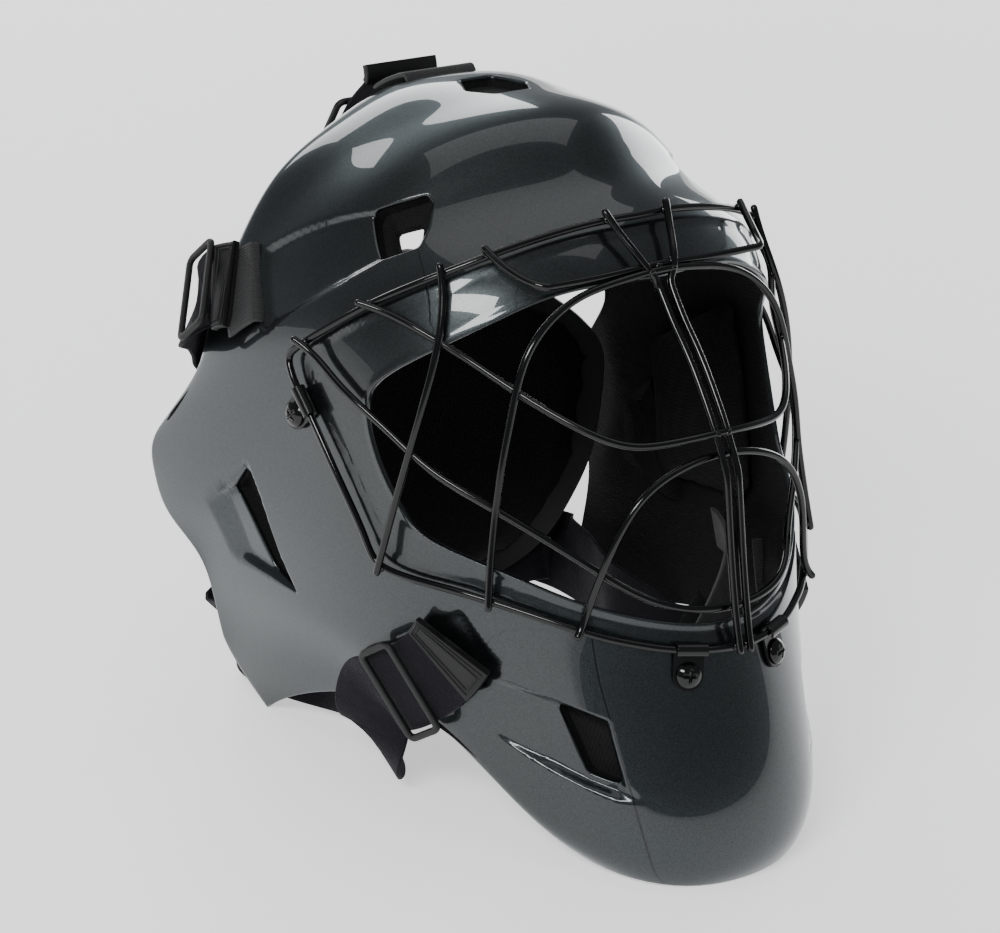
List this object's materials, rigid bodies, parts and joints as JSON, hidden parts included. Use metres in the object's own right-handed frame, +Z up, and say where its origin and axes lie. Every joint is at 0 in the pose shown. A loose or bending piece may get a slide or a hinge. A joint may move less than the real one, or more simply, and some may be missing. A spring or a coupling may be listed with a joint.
{
  "type": "floorball goalie mask",
  "caption": "Hard-shell goalie mask with a welded wire cage over the face, vents, inner padding and a strapped back plate.",
  "frame": {"origin": "middle of the underside of the bounding box, on the surface that the mask rests on", "axes": "+X to the left of the wearer, -Y the way the face looks, tipped back as the mask rests, +Z up"},
  "size_m": [0.2446, 0.3126, 0.2665],
  "materials": {
    "shell_paint": "glossy clear coat over metallic dark grey",
    "cage_wire": "glossy black coating",
    "clip_metal": "satin black coating",
    "hard_plastic": "matte black",
    "foam": "soft matte black foam",
    "webbing": "black hook-and-loop webbing",
    "buckle_plastic": "satin black"
  },
  "bodies": {
    "root": {"back_pad": "foam", "back_plate": "hard_plastic", "brow_pad": "foam", "cage": "cage_wire", "cheek_pad_left": "foam", "cheek_pad_right": "foam", "chin_cup": "foam", "chin_strap": "webbing", "clip_chin_left": "clip_metal", "clip_chin_right": "clip_metal", "clip_temple_left": "clip_metal", "clip_temple_right": "clip_metal", "crown_pad": "foam", "lower_anchor_left": "webbing", "lower_anchor_right": "webbing", "lower_ring_left": "buckle_plastic", "lower_ring_right": "buckle_plastic", "lower_strap_left": "webbing", "lower_strap_right": "webbing", "screw_chin_left": "clip_metal", "screw_chin_right": "clip_metal", "screw_temple_left": "clip_metal", "screw_temple_right": "clip_metal", "shell": "shell_paint", "top_anchor": "webbing", "top_ring": "buckle_plastic", "top_strap": "webbing", "upper_anchor_left": "webbing", "upper_anchor_right": "webbing", "upper_ring_left": "buckle_plastic", "upper_ring_right": "buckle_plastic", "upper_strap_left": "webbing", "upper_strap_right": "webbing"}
  },
  "joints": []
}
